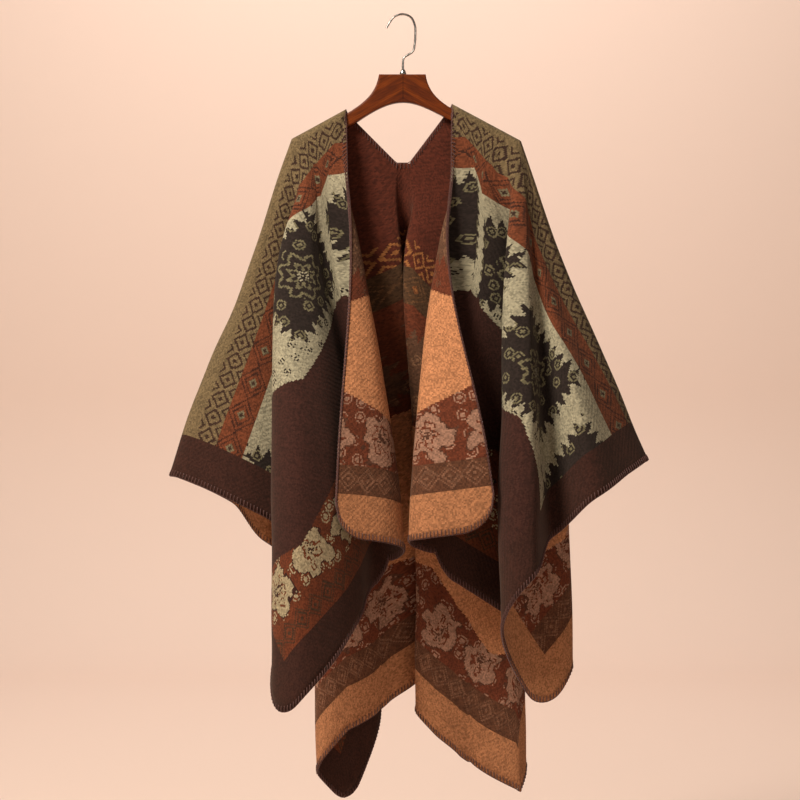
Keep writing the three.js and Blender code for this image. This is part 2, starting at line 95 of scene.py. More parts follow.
# One row for each fold's edge, crest or valley: name, start, then x and y where it passes the top,
# high, mid and low sections.
FRONT_LEFT = [
    ("ridge", "P", -185.5, 0, -214, 0, -339, 0, -455, 0),
    ("ridge turn", "P", -183.5, -7, -210.5, -8, -332, -11, -447, -12),
    ("sleeve outer", "P", -179.5, -11, -200, -12, -290, -30, -372, -48),
    ("sleeve middle", "P", -174, -14, -187, -13, -233, -38, -272, -64),
    ("sleeve inner", "P", -168, -15, -175, -12, -181, -25, -190, -38),
    ("valley", "P", -162, -16, -160, -10, -118, -6, -100, -6),
    ("valley turn", "P", -158, -17, -157, -15, -106, -22, -88, -24),
    ("tuck", "P", -154, -18, -166, -22, -150, -55, -150, -66),
    ("fold edge", "P", -150, -19, -175, -29, -187, -80, -186, -98),
    ("fold turn", "P", -145, -20, -174, -38, -184, -115, -184, -136),
    ("crest", "P", -142, -21, -160, -44, -152, -140, -142, -160),
    ("flank", "P", -138, -20, -141, -41, -112, -122, -92, -132),
    ("inner flank", "P", -133, -19, -130, -31, -76, -78, -58, -82),
    ("deep", "P", -126, -18, -120, -20, -50, -28, -36, -28),
    ("neck line", "N", -112, -16, -108, -17, -34, -28, -16, -28),
    ("neck turn", "T", -108, -16, -104, -18, -30, -30, -12, -30),
    ("lapel root", "E", -103, -17, -86, -20, -14, -48, 6, -55),
    ("lapel fold", "E", -96, -17.5, -74, -25, -12, -74, 8, -90),
    ("lapel turn", "E", -91, -18.5, -69, -32, -28, -96, -15, -118),
    ("lapel middle", "E", -86.5, -20.5, -71, -40, -62, -112, -60, -136),
    ("front edge", "E", -83, -23.5, -78, -46, -94, -122, -105, -152),
]
FRONT_RIGHT = [
    ("ridge", "P", 193.5, 0, 224, 0, 360, 0, 480, 0),
    ("ridge turn", "P", 191.5, -7, 220.5, -8, 353, -15, 472, -15),
    ("sleeve outer", "P", 187.5, -11, 208, -14, 318, -52, 408, -76),
    ("sleeve middle", "P", 184, -14, 197, -22, 268, -98, 320, -124),
    ("valley", "P", 180, -17, 189, -26, 213, -52, 230, -70),
    ("crest", "P", 176, -20, 178, -42, 181, -122, 186, -150),
    ("flank", "P", 171, -21, 166, -43, 158, -116, 164, -148),
    ("fold edge", "P", 166, -20, 156, -33, 141, -88, 146, -117),
    ("tuck", "P", 162, -19, 160, -24, 150, -62, 156, -80),
    ("under", "P", 158, -18, 172, -19, 190, -34, 200, -42),
    ("under outer", "P", 154, -17, 182, -16, 226, -26, 243, -30),
    ("second fold", "P", 149, -15, 185, -10, 238, -16, 254, -18),
    ("second turn", "P", 143, -14, 178, -5, 226, -5, 240, -6),
    ("panel outer", "P", 135, -15, 160, -6, 180, -11, 185, -14),
    ("panel middle", "P", 130, -16, 141, -15, 128, -28, 125, -38),
    ("panel inner", "P", 121, -17, 124, -19, 85, -45, 75, -60),
    ("neck line", "N", 108, -16, 109, -18, 56, -50, 42, -70),
    ("neck turn", "T", 104, -16, 102, -18, 50, -52, 36, -72),
    ("lapel root", "E", 98, -17, 80, -20, 26, -60, 10, -82),
    ("lapel fold", "E", 90, -17.5, 63, -25, 17, -82, 5, -105),
    ("lapel turn", "E", 82, -18.5, 58, -32, 32, -98, 30, -126),
    ("lapel middle", "E", 76, -20.5, 60, -40, 78, -108, 95, -136),
    ("front edge", "E", 72, -23.5, 66, -47, 122, -112, 165, -138),
]
BACK = [
    ("left ridge", "PL", -185.5, 0, -214, 0, -339, 0, -455, 0),
    ("left turn", "PL", -183.5, 7, -210.5, 8, -332, 15, -445, 15),
    ("left outer", "PL", -179.5, 11, -201, 14, -292, 62, -380, 95),
    ("left middle", "PL", -174, 14, -190, 19, -247, 106, -302, 145),
    ("left dip", "PL", -168, 16, -184, 18, -203, 66, -225, 94),
    ("left inner", "PL", -162, 18, -172, 25, -160, 104, -160, 136),
    ("left crest", "PL", -156, 19, -158, 36, -112, 146, -88, 178),
    ("left bend", "PL", -151, 20, -146, 38, -72, 132, -44, 160),
    ("left turn under", "PL", -146, 19, -143, 28, -76, 92, -42, 115),
    ("left under", "PL", -141, 18, -149, 21, -112, 64, -92, 82),
    ("left fold", "PL", -136, 16, -159, 13, -148, 42, -136, 55),
    ("left fold turn", "PL", -131, 15, -154, 6, -142, 26, -130, 36),
    ("left shoulder", "PL", -120, 15, -140, 10, -100, 26, -86, 38),
    ("left neck line", "NL", -86, 14, -84, 16, -45, 42, -35, 58),
    ("left neck turn", "TL", -82, 14, -80, 16, -42, 43, -32, 59),
    ("left neck edge", "EL", -72, 16, -70, 17, -36, 45, -26, 62),
    ("centre left", "C", -12, 22, -6, 22, 20, 56, 27, 78),
    ("pleat left", "C", -10, 25, -7, 31, 20, 76, 27, 104),
    ("pleat flank", "C", -8, 28, -10, 41, -8, 115, -15, 155),
    ("pleat floor", "C", -2, 31, 2, 50, 12, 155, 10, 205),
    ("centre", "C", 4, 31, 14, 50, 55, 165, 65, 218),
    ("pleat bend", "C", 9, 28, 22, 41, 90, 135, 110, 180),
    ("pleat right", "C", 12, 25, 20, 29, 76, 88, 88, 115),
    ("pleat under", "C", 15, 22, 13, 20, 38, 50, 44, 66),
    ("centre right", "C", 18, 19, 7, 12, 17, 23, 22, 35),
    ("centre turn", "C", 23, 17, 17, 7, 34, 12, 40, 22),
    ("right neck edge", "ER", 64, 15, 52, 9, 76, 18, 84, 28),
    ("right neck turn", "TR", 77, 14, 67, 10, 87, 21, 94, 32),
    ("right neck line", "NR", 82, 14, 72, 10, 92, 22, 100, 34),
    ("right shoulder", "PR", 122, 15, 142, 10, 154, 30, 168, 44),
    ("right fold", "PR", 133, 15.5, 163, 9, 174, 36, 178, 50),
    ("right fold turn", "PR", 138, 16.5, 167, 14, 181, 48, 186, 64),
    ("right under", "PR", 142, 18, 161, 19.5, 152, 66, 154, 88),
    ("right turn under", "PR", 148, 20, 152, 27, 122, 86, 120, 110),
    ("right bend", "PR", 156, 20, 153, 35, 120, 120, 120, 148),
    ("right crest", "PR", 163, 20, 165, 36, 162, 142, 168, 174),
    ("right inner", "PR", 171, 18, 180, 26, 205, 118, 218, 146),
    ("right dip", "PR", 177, 16, 191, 18, 242, 57, 268, 78),
    ("right middle", "PR", 182, 14, 199, 20, 288, 124, 340, 158),
    ("right outer", "PR", 187, 11, 210, 14, 322, 62, 408, 92),
    ("right turn", "PR", 191.5, 7, 220.5, 8, 352, 15, 470, 15),
    ("right ridge", "PR", 193.5, 0, 224, 0, 360, 0, 480, 0),
]


def through_knots(knots, values, at):
    """Smooth curve through values at uneven knots, with the slope at a knot taken from both sides."""
    knots = np.asarray(knots, float)
    values = np.asarray(values, float)
    step = np.diff(knots)
    slope = np.diff(values) / step
    tangent = np.empty_like(values)
    tangent[0] = slope[0]
    tangent[-1] = slope[-1]
    tangent[1:-1] = (slope[:-1] * step[1:] + slope[1:] * step[:-1]) / (step[1:] + step[:-1])
    i = np.clip(np.searchsorted(knots, at) - 1, 0, len(step) - 1)
    h = step[i]
    s = (at - knots[i]) / h
    curve = (
        (2 * s**3 - 3 * s**2 + 1) * values[i]
        + (s**3 - 2 * s**2 + s) * h * tangent[i]
        + (3 * s**2 - 2 * s**3) * values[i + 1]
        + (s**3 - s**2) * h * tangent[i + 1]
    )
    return np.where(s > 1, values[i + 1] + tangent[i + 1] * (at - knots[i + 1]), curve)


def join_rows(table, starts, side):
    """A table's rows with their starts joined on. side is -1 for a front and 1 for the back."""
    joined = []
    for name, start, *sections in table:
        alike = [row[0] for row in table if row[1] == start]
        share = alike.index(name) / (len(alike) - 1) if len(alike) > 1 else 0
        first = np.array(starts[start], float)
        last = np.array(starts.get(start + "2", starts[start]), float)
        x, y, z, top, arm_round, u, v = first + (last - first) * share
        joined.append(
            {
                "name": name,
                "x": [x, *sections[0::2]],
                "y": [y, *sections[1::2]],
                "z": [z, top, Z_HIGH, Z_MID, Z_LOW],
                "round": arm_round,
                "over": min(1.0, abs(sections[1]) / 11),
                "u": u,
                "v": v,
                "side": side,
            }
        )
    return joined


def to_outline(u, v, angle, length, slit):
    """Distance in the flat cloth from (u, v) to its rounded outline, at an angle from the weft."""
    du, dv = math.cos(angle), math.sin(angle)
    near, far = 0.0, 2000.0
    for _ in range(40):
        middle = (near + far) / 2
        x = abs(u + middle * du)
        y = v + middle * dv
        ey = y - (length - CORNER_RADIUS)
        ex = x - (HALF_WIDTH - CORNER_RADIUS)
        if slit:
            ex = max(ex, SLIT_HALF + CORNER_RADIUS - x)
        rounded = ex <= 0 or ey <= 0 or ex * ex + ey * ey <= CORNER_RADIUS**2
        if x <= HALF_WIDTH and y <= length and rounded:
            near = middle
        else:
            far = middle
    return near


def short_of_full(over, arm_round, depth):
    """How far short of its full distance from the arm's middle a line is, as it comes over the arm."""
    t = np.minimum(1, (arm_round + depth) / OVER_ARM)
    return OVER_ARM * over * (1 - np.sqrt(1 - (1 - t) ** 2))


# From the left front edge round the back to the right front edge, so that the cloth is smooth where
# it turns over the sleeve ridges.
rows = (
    join_rows(FRONT_LEFT, FRONT_LEFT_STARTS, -1)[::-1]
    + join_rows(BACK, BACK_STARTS, 1)[1:]
    + join_rows(FRONT_RIGHT, FRONT_RIGHT_STARTS, -1)[1:]
)
left_ridge = len(FRONT_LEFT) - 1
right_ridge = left_ridge + len(BACK) - 1
row_knots = [0.0]
for before, row in zip(rows, rows[1:]):
    row_knots.append(
        row_knots[-1] + math.hypot(row["x"][3] - before["x"][3], row["y"][3] - before["y"][3]) + 8
    )

# Lines of corners lie at most 5 mm apart at mid height, and at the neck's edge.
LINE_SPACING = 5.0
line_at = []
line_row = []
for i in range(len(rows) - 1):
    started = math.hypot(rows[i + 1]["u"] - rows[i]["u"], rows[i + 1]["v"] - rows[i]["v"])
    across = max(row_knots[i + 1] - row_knots[i] - 8, 0.7 * started)
    count = max(2, round(across / LINE_SPACING))
    for n in range(count):
        line_at.append(row_knots[i] + (row_knots[i + 1] - row_knots[i]) * n / count)
        line_row.append((i, n / count))
line_at.append(row_knots[-1])
line_row.append((len(rows) - 2, 1.0))
line_at = np.array(line_at)
left_ridge_line = line_row.index((left_ridge, 0.0))
right_ridge_line = line_row.index((right_ridge, 0.0))


def straight(read):
    """A row value for each line, straight between the rows."""
    return np.array([read(rows[i]) * (1 - share) + read(rows[i + 1]) * share for i, share in line_row])


section_x = [straight(lambda row: row["x"][0])]
section_y = [straight(lambda row: row["y"][0])]
for k in range(1, 5):
    section_x.append(through_knots(row_knots, [row["x"][k] for row in rows], line_at))
    section_y.append(through_knots(row_knots, [row["y"][k] for row in rows], line_at))
section_z = [straight(lambda row, k=k: row["z"][k]) for k in range(5)]
line_over = straight(lambda row: row["over"])
line_round = straight(lambda row: row["round"])
line_u = straight(lambda row: row["u"])
line_v = straight(lambda row: row["v"])


def give_angles(first, last, start_angle, end_angle):
    """Each line's angle in the flat cloth, from the width between lines at mid height."""
    angles = [0.0]
    for b in range(first + 1, last + 1):
        a = b - 1
        across = math.hypot(section_x[3][b] - section_x[3][a], section_y[3][b] - section_y[3][a])
        started = math.hypot(line_u[b] - line_u[a], line_v[b] - line_v[a])
        reach = math.sqrt(
            (section_x[3][b] - section_x[0][b]) ** 2
            + (section_y[3][b] - section_y[0][b]) ** 2
            + (section_z[3][b] - section_z[0][b]) ** 2
        )
        angles.append(angles[-1] + max(0.15 * across, across - started) / reach)
    return start_angle + (end_angle - start_angle) * np.array(angles) / angles[-1]


last_line = len(line_at) - 1
left_angles = give_angles(0, left_ridge_line, math.pi / 2, math.pi + LEFT_RIDGE_BEHIND)
back_angles = give_angles(left_ridge_line, right_ridge_line, math.pi - LEFT_RIDGE_BEHIND, -RIGHT_RIDGE_AHEAD)
right_angles = give_angles(right_ridge_line, last_line, RIGHT_RIDGE_AHEAD, math.pi / 2)

# Shares of each line's length where the cloth has a row of corners, close together over the arm.
row_shares = np.concatenate([0.08 * np.linspace(0, 1, 13) ** 1.7, np.linspace(0.08, 1, 48)[1:]])

grid = np.zeros((last_line + 1, len(row_shares), 3))
flat = np.zeros((last_line + 1, len(row_shares), 2))
for i in range(last_line + 1):
    if i <= left_ridge_line:
        side, angle, length = -1, left_angles[i], FRONT_LENGTH
    elif i < right_ridge_line:
        side, angle, length = 1, back_angles[i - left_ridge_line], BACK_LENGTH
    else:
        side, angle, length = -1, right_angles[i - right_ridge_line], FRONT_LENGTH
    knots = np.array([section_z[0][i] - section_z[k][i] for k in range(5)])
    xs = np.array([section_x[k][i] for k in range(5)])
    ys = np.array([section_y[k][i] for k in range(5)])
    ys[0] += side * short_of_full(line_over[i], line_round[i], 0.0)
    depths = np.concatenate([np.arange(0, 12, 0.4), np.arange(12, 1250, 4)])
    px = through_knots(knots, xs, depths)
    py = through_knots(knots, ys, depths) - side * short_of_full(line_over[i], line_round[i], depths)
    gone = np.sqrt(np.diff(px) ** 2 + np.diff(py) ** 2 + np.diff(depths) ** 2)
    run = np.concatenate([[0], np.cumsum(gone)])
    reach = to_outline(line_u[i], line_v[i], angle, length, side < 0)
    stretch = 1 + BIAS_STRETCH * math.sin(2 * angle) ** 2
    wanted = np.interp(row_shares * reach * stretch, run, depths)
    grid[i, :, 0] = through_knots(knots, xs, wanted)
    short = short_of_full(line_over[i], line_round[i], wanted)
    grid[i, :, 1] = through_knots(knots, ys, wanted) - side * short
    grid[i, :, 2] = section_z[0][i] - wanted
    flat[i, :, 0] = line_u[i] + row_shares * reach * math.cos(angle)
    flat[i, :, 1] = side * (line_v[i] + row_shares * reach * math.sin(angle))


def cloth_normals(points, window):
    """Unit normals of a grid of points, outwards. Near the arms, where the lines crowd, the direction
    across them is taken lower down."""
    count = points.shape[0]
    before = np.clip(np.arange(count) - 1, 0, count - 1)
    after = np.clip(np.arange(count) + 1, 0, count - 1)
    across = points[after] - points[before]
    top = np.array([[np.interp(-Z_TOP, -line[:, 2], line[:, k]) for k in range(3)] for line in points])
    wide_before = np.clip(np.arange(count) - window, 0, count - 1)
    wide_after = np.clip(np.arange(count) + window, 0, count - 1)
    across_top = top[wide_after] - top[wide_before]
    share = np.clip((points[:, :, 2] - Z_TOP) / 30, 0, 1)[:, :, None]
    unit = across / np.maximum(np.linalg.norm(across, axis=2, keepdims=True), 1e-9)
    unit_top = (across_top / np.linalg.norm(across_top, axis=1, keepdims=True))[:, None, :]
    across = unit * (1 - share) + unit_top * share
    down = np.gradient(points, axis=1)
    normals = np.cross(across, down)
    return normals / np.maximum(np.linalg.norm(normals, axis=2, keepdims=True), 1e-9)


# Small uneven waves of the cloth, 1 to 3 mm high and 90 to 400 mm long. They die out upwards, where the
# folds lie close together.
waves = np.zeros(grid.shape[:2])
chance = np.random.default_rng(7)
for _ in range(26):
    long = chance.uniform(90, 400)
    turn = chance.normal(0.0, 0.5)
    phase = chance.uniform(0, 2 * math.pi)
    travel = flat[:, :, 0] * math.cos(turn) + flat[:, :, 1] * math.sin(turn)
    waves += (long / 400) ** 0.7 * np.sin(2 * math.pi * travel / long + phase)
waves *= 0.55
waves *= np.clip((-320 - grid[:, :, 2]) / 280, 0, 1)
normals = cloth_normals(grid, 8)
grid = grid + normals * waves[:, :, None]
normals = cloth_normals(grid, 8)
outer = grid + normals * CLOTH_THICK / 2
inner = grid - normals * CLOTH_THICK / 2

lines, steps = grid.shape[:2]
corners = np.concatenate([outer.reshape(-1, 3), inner.reshape(-1, 3)]) / 1000
faces = []
face_is_inner = []
for i in range(lines - 1):
    for j in range(steps - 1):
        a = i * steps + j
        b = a + steps
        faces.append((a, b, b + 1, a + 1))
        face_is_inner.append(0)
        c = a + lines * steps
        d = c + steps
        faces.append((c, c + 1, d + 1, d))
        face_is_inner.append(1)
    hem = i * steps + steps - 1
    faces.append((hem, hem + steps, hem + steps + lines * steps, hem + lines * steps))
    face_is_inner.append(0)
    if line_v[i] > 0 or line_v[i + 1] > 0:
        top = i * steps
        faces.append((top, top + lines * steps, top + steps + lines * steps, top + steps))
        face_is_inner.append(0)
for j in range(steps - 1):
    faces.append((j, j + 1, j + 1 + lines * steps, j + lines * steps))
    face_is_inner.append(0)
    a = (lines - 1) * steps + j
    faces.append((a, a + lines * steps, a + 1 + lines * steps, a + 1))
    face_is_inner.append(0)
cape_mesh = bpy.data.meshes.new("cape_cloth")
cape_mesh.from_pydata(corners.tolist(), [], faces)
cape_mesh.polygons.foreach_set("material_index", face_is_inner)
cape_mesh.polygons.foreach_set("use_smooth", [True] * len(faces))
flat_place = cape_mesh.attributes.new("flat", "FLOAT_VECTOR", "POINT")
flat_corners = np.zeros((2 * lines * steps, 3))
flat_corners[:, :2] = np.concatenate([flat.reshape(-1, 2), flat.reshape(-1, 2)])
flat_place.data.foreach_set("vector", flat_corners.ravel())
cape_mesh.update()
cape = bpy.data.objects.new("cape_cloth", cape_mesh)
bpy.context.scene.collection.objects.link(cape)


def linear(hex_colour):
    """An sRGB hex colour as the linear red, green, blue and alpha that a shader takes."""
    values = [int(hex_colour[k : k + 2], 16) / 255 for k in (1, 3, 5)]
    return [v / 12.92 if v <= 0.04045 else ((v + 0.055) / 1.055) ** 2.4 for v in values] + [1.0]


def add(tree, kind, links=None, out=0, stops=None, **settings):
    """Adds a node with its settings, gives its inputs values or links, and returns one output. Stops
    are the places and hex colours of a colour ramp, which steps from one to the next."""
    node = tree.nodes.new("ShaderNode" + kind)
    for name, value in settings.items():
        setattr(node, name, value)
    if stops:
        node.color_ramp.interpolation = "CONSTANT"
        while len(node.color_ramp.elements) < len(stops):
            node.color_ramp.elements.new(0.5)
        for element, (place, hex_colour) in zip(node.color_ramp.elements, stops):
            element.position = place
        for element, (place, hex_colour) in zip(node.color_ramp.elements, stops):
            element.color = linear(hex_colour)
    for key, value in (links or {}).items():
        if isinstance(value, bpy.types.NodeSocket):
            tree.links.new(value, node.inputs[key])
        else:
            node.inputs[key].default_value = value
    return node.outputs[out]


THREAD = 2.2
MIDDLE = (BACK_LENGTH - FRONT_LENGTH) / 2


def flat_threads(tree):
    """Where the eye is in the flat cloth, in whole threads: u across and w out from the mid-length."""
    place = add(tree, "Attribute", attribute_name="flat", out="Vector")
    threads = add(tree, "VectorMath", {0: place, 1: (THREAD, THREAD, 1)}, operation="SNAP")
    split = add(tree, "SeparateXYZ", {0: threads})
    across = split.node.outputs[0]
    along = split.node.outputs[1]
    past = add(tree, "Math", {0: along, 1: MIDDLE}, operation="SUBTRACT")
    out_from_middle = add(tree, "Math", {0: past}, operation="ABSOLUTE")
    return place, threads, across, along, out_from_middle


def jacquard(name, colours):
    """One face of the double cloth. Both faces carry the same bands and figures, with the yarns that
    show changed over. The eye sees small stepped edges, a heathered grain and a soft nap."""
    cloth = bpy.data.materials.new(name)
    cloth.use_nodes = True
    tree = cloth.node_tree
    place, threads, across, along, w = flat_threads(tree)

    # A row of small lozenge outlines with a dot in each, 30 mm apart and 44 mm high.
    beside = add(tree, "Math", {0: across, 1: 15.0}, operation="PINGPONG")
    above = add(tree, "Math", {0: w, 1: 132.5}, operation="SUBTRACT")
    above = add(tree, "Math", {0: above}, operation="ABSOLUTE")
    above = add(tree, "Math", {0: above, 1: 0.85}, operation="MULTIPLY")
    round_dot = add(tree, "Math", {0: beside, 1: above}, operation="ADD")
    round_dot = add(tree, "Math", {0: round_dot, 1: 40.0}, operation="DIVIDE")
    small_row = add(
        tree,
        "ValToRGB",
        {0: round_dot},
        stops=[
            (0.0, colours["line"]),
            (0.10, colours["plain"]),
            (0.26, colours["line"]),
            (0.37, colours["plain"]),
            (0.56, colours["line"]),
            (0.66, colours["plain"]),
        ],
    )

    # A band of large lozenges one inside the other, 52 mm apart.
    beside = add(tree, "Math", {0: across, 1: 26.0}, operation="PINGPONG")
    above = add(tree, "Math", {0: w, 1: 175.5}, operation="SUBTRACT")
    above = add(tree, "Math", {0: above}, operation="ABSOLUTE")
    above = add(tree, "Math", {0: above, 1: 1.1}, operation="MULTIPLY")
    round_middle = add(tree, "Math", {0: beside, 1: above}, operation="ADD")
    round_middle = add(tree, "Math", {0: round_middle, 1: 60.0}, operation="DIVIDE")
    large_row = add(
        tree,
        "ValToRGB",
        {0: round_middle},
        stops=[
            (0.0, colours["line"]),
            (0.06, colours["band figure"]),
            (0.13, colours["band"]),
            (0.24, colours["band line"]),
            (0.29, colours["band"]),
            (0.39, colours["band line"]),
            (0.44, colours["band"]),
        ],
    )

    # The wide figured field: turned blocks with toothed edges, each with a rosette and small rings.
    wrapped = add(tree, "Math", {0: across, 1: -104.0, 2: 104.0}, operation="WRAP")
    raised = add(tree, "Math", {0: w, 1: 283.5}, operation="SUBTRACT")
    block = add(tree, "CombineXYZ", {0: wrapped, 1: raised})
    turned = add(tree, "VectorRotate", {"Vector": block, "Angle": 0.22}, rotation_type="Z_AXIS")
    turned = add(tree, "VectorMath", {0: turned, 1: (THREAD, THREAD, 1)}, operation="SNAP")
    split = add(tree, "SeparateXYZ", {0: turned})
    bx, by = split.node.outputs[0], split.node.outputs[1]
    ax = add(tree, "Math", {0: bx}, operation="ABSOLUTE")
    ay = add(tree, "Math", {0: by}, operation="ABSOLUTE")
    teeth_x = add(tree, "Math", {0: bx, 1: 8.5}, operation="PINGPONG")
    teeth_y = add(tree, "Math", {0: by, 1: 8.5}, operation="PINGPONG")
    teeth_x = add(tree, "Math", {0: teeth_x, 1: 2.2}, operation="MULTIPLY")
    teeth_y = add(tree, "Math", {0: teeth_y, 1: 2.2}, operation="MULTIPLY")
    over_x = add(tree, "Math", {0: ax, 1: teeth_y}, operation="ADD")
    over_y = add(tree, "Math", {0: ay, 1: teeth_x}, operation="ADD")
    over_y = add(tree, "Math", {0: over_y, 1: 16.0}, operation="ADD")
    edge = add(tree, "Math", {0: over_x, 1: over_y}, operation="MAXIMUM")
    in_block = add(tree, "Math", {0: edge, 1: 88.0}, operation="LESS_THAN")
    far = add(tree, "VectorMath", {0: turned}, operation="LENGTH", out="Value")
    around = add(tree, "Math", {0: by, 1: bx}, operation="ARCTAN2")
    petals = add(tree, "Math", {0: around, 1: 8.0}, operation="MULTIPLY")
    petals = add(tree, "Math", {0: petals}, operation="COSINE")
    petals = add(tree, "Math", {0: petals, 1: 4.5}, operation="MULTIPLY")
    far = add(tree, "Math", {0: far, 1: petals}, operation="ADD")
    far = add(tree, "Math", {0: far, 1: 100.0}, operation="DIVIDE")
    rosette = add(
        tree,
        "ValToRGB",
        {0: far},
        stops=[
            (0.0, colours["field"]),
            (0.05, colours["block"]),
            (0.11, colours["block figure"]),
            (0.17, colours["block"]),
            (0.27, colours["block figure"]),
            (0.32, colours["block"]),
        ],
    )
    rings = add(
        tree,
        "TexVoronoi",
        {"Vector": threads, "Scale": 1 / 27, "Randomness": 0.75},
        voronoi_dimensions="2D",
        out="Distance",
    )
    pale_rings = add(
        tree,
        "ValToRGB",
        {0: rings},
        stops=[
            (0.0, colours["block figure"]),
            (0.1, colours["block"]),
            (0.2, colours["block figure"]),
            (0.29, colours["block"]),
        ],
    )
    outside_rosette = add(tree, "Math", {0: far, 1: 0.38}, operation="GREATER_THAN")
    block_colour = add(tree, "Mix", {0: outside_rosette, 6: rosette, 7: pale_rings}, out=2, data_type="RGBA")
    dark_rings = add(
        tree,
        "ValToRGB",
        {0: rings},
        stops=[
            (0.0, colours["block"]),
            (0.07, colours["field"]),
            (0.155, colours["block"]),
            (0.2, colours["field"]),
        ],
    )
    low_field = add(tree, "Math", {0: w, 1: 335.5}, operation="GREATER_THAN")
    field_colour = add(
        tree, "Mix", {0: low_field, 6: linear(colours["field"]), 7: dark_rings}, out=2, data_type="RGBA"
    )
    field = add(tree, "Mix", {0: in_block, 6: field_colour, 7: block_colour}, out=2, data_type="RGBA")

    # The flower band: five-petalled flowers 88 mm apart on a speckled ground, their edges uneven by up
    # to 7 mm, so that each one differs.
    uneven = add(tree, "TexNoise", {"Vector": threads, "Scale": 0.045, "Detail": 1.5}, out=1)
    uneven = add(tree, "VectorMath", {0: uneven, 1: (0.5, 0.5, 0.5)}, operation="SUBTRACT")
    uneven = add(tree, "VectorMath", {0: uneven, "Scale": 44.0}, operation="SCALE")
    uneven = add(tree, "SeparateXYZ", {0: uneven})
    wrapped = add(tree, "Math", {0: across, 1: uneven}, operation="ADD")
    wrapped = add(tree, "Math", {0: wrapped, 1: -44.0, 2: 44.0}, operation="WRAP")
    raised = add(tree, "Math", {0: w, 1: 602.5}, operation="SUBTRACT")
    raised = add(tree, "Math", {0: raised, 1: uneven.node.outputs[1]}, operation="ADD")
    flower = add(tree, "CombineXYZ", {0: wrapped, 1: raised})
    far = add(tree, "VectorMath", {0: flower}, operation="LENGTH", out="Value")
    around = add(tree, "Math", {0: raised, 1: wrapped}, operation="ARCTAN2")
    petals = add(tree, "Math", {0: around, 1: 5.0}, operation="MULTIPLY")
    petals = add(tree, "Math", {0: petals}, operation="COSINE")
    petals = add(tree, "Math", {0: petals, 1: 5.0}, operation="MULTIPLY")
    far = add(tree, "Math", {0: far, 1: petals}, operation="ADD")
    far = add(tree, "Math", {0: far, 1: 60.0}, operation="DIVIDE")
    speckle = add(
        tree,
        "ValToRGB",
        {0: rings},
        stops=[
            (0.0, colours["flower"]),
            (0.14, colours["flower ground"]),
            (0.25, colours["flower"]),
            (0.31, colours["flower ground"]),
        ],
    )
    flower_face = add(
        tree,
        "ValToRGB",
        {0: far},
        stops=[
            (0.0, colours["flower line"]),
            (0.1, colours["flower"]),
            (0.22, colours["flower ground"]),
            (0.28, colours["flower"]),
            (0.52, colours["flower line"]),
            (0.57, colours["flower ground"]),
        ],
    )
    near_flower = add(tree, "Math", {0: far, 1: 0.6}, operation="LESS_THAN")
    flowers = add(tree, "Mix", {0: near_flower, 6: speckle, 7: flower_face}, out=2, data_type="RGBA")

    # The row of lozenges above the border, 32 mm apart.
    beside = add(tree, "Math", {0: across, 1: 16.0}, operation="PINGPONG")
    above = add(tree, "Math", {0: w, 1: 663.5}, operation="SUBTRACT")
    above = add(tree, "Math", {0: above}, operation="ABSOLUTE")
    round_dot = add(tree, "Math", {0: beside, 1: above}, operation="ADD")
    round_dot = add(tree, "Math", {0: round_dot, 1: 40.0}, operation="DIVIDE")
    lower_row = add(
        tree,
        "ValToRGB",
        {0: round_dot},
        stops=[
            (0.0, colours["low line"]),
            (0.09, colours["low"]),
            (0.22, colours["low line"]),
            (0.31, colours["low"]),
            (0.4, colours["low line"]),
            (0.46, colours["low"]),
        ],
    )

    # The bands follow each other outwards from the middle of the cloth's length.
    slant = add(tree, "Math", {0: across, 1: 150.0}, operation="PINGPONG")
    slant = add(tree, "Math", {0: slant, 1: 0.36}, operation="MULTIPLY")
    slanted = add(tree, "Math", {0: w, 1: slant}, operation="SUBTRACT")
    bent = add(tree, "Math", {0: w, 1: slant}, operation="ADD")
    past = add(tree, "Math", {0: w, 1: 112.5}, operation="GREATER_THAN")
    colour = add(tree, "Mix", {0: past, 6: linear(colours["plain"]), 7: small_row}, out=2, data_type="RGBA")
    past = add(tree, "Math", {0: w, 1: 151.5}, operation="GREATER_THAN")
    colour = add(tree, "Mix", {0: past, 6: colour, 7: large_row}, out=2, data_type="RGBA")
    past = add(tree, "Math", {0: w, 1: 199.5}, operation="GREATER_THAN")
    colour = add(tree, "Mix", {0: past, 6: colour, 7: field}, out=2, data_type="RGBA")
    past = add(tree, "Math", {0: bent, 1: 405.5}, operation="GREATER_THAN")
    colour = add(tree, "Mix", {0: past, 6: colour, 7: linear(colours["wide band"])}, out=2, data_type="RGBA")
    past = add(tree, "Math", {0: slanted, 1: 531.5}, operation="GREATER_THAN")
    colour = add(tree, "Mix", {0: past, 6: colour, 7: flowers}, out=2, data_type="RGBA")
    past = add(tree, "Math", {0: w, 1: 643.5}, operation="GREATER_THAN")
    colour = add(tree, "Mix", {0: past, 6: colour, 7: lower_row}, out=2, data_type="RGBA")
    at_side = add(tree, "Math", {0: across}, operation="ABSOLUTE")
    at_side = add(tree, "Math", {0: at_side, 1: 106.5}, operation="ADD")
    outermost = add(tree, "Math", {0: w, 1: at_side}, operation="MAXIMUM")
    past = add(tree, "Math", {0: outermost, 1: 684.5}, operation="GREATER_THAN")
    colour = add(tree, "Mix", {0: past, 6: colour, 7: linear(colours["border"])}, out=2, data_type="RGBA")

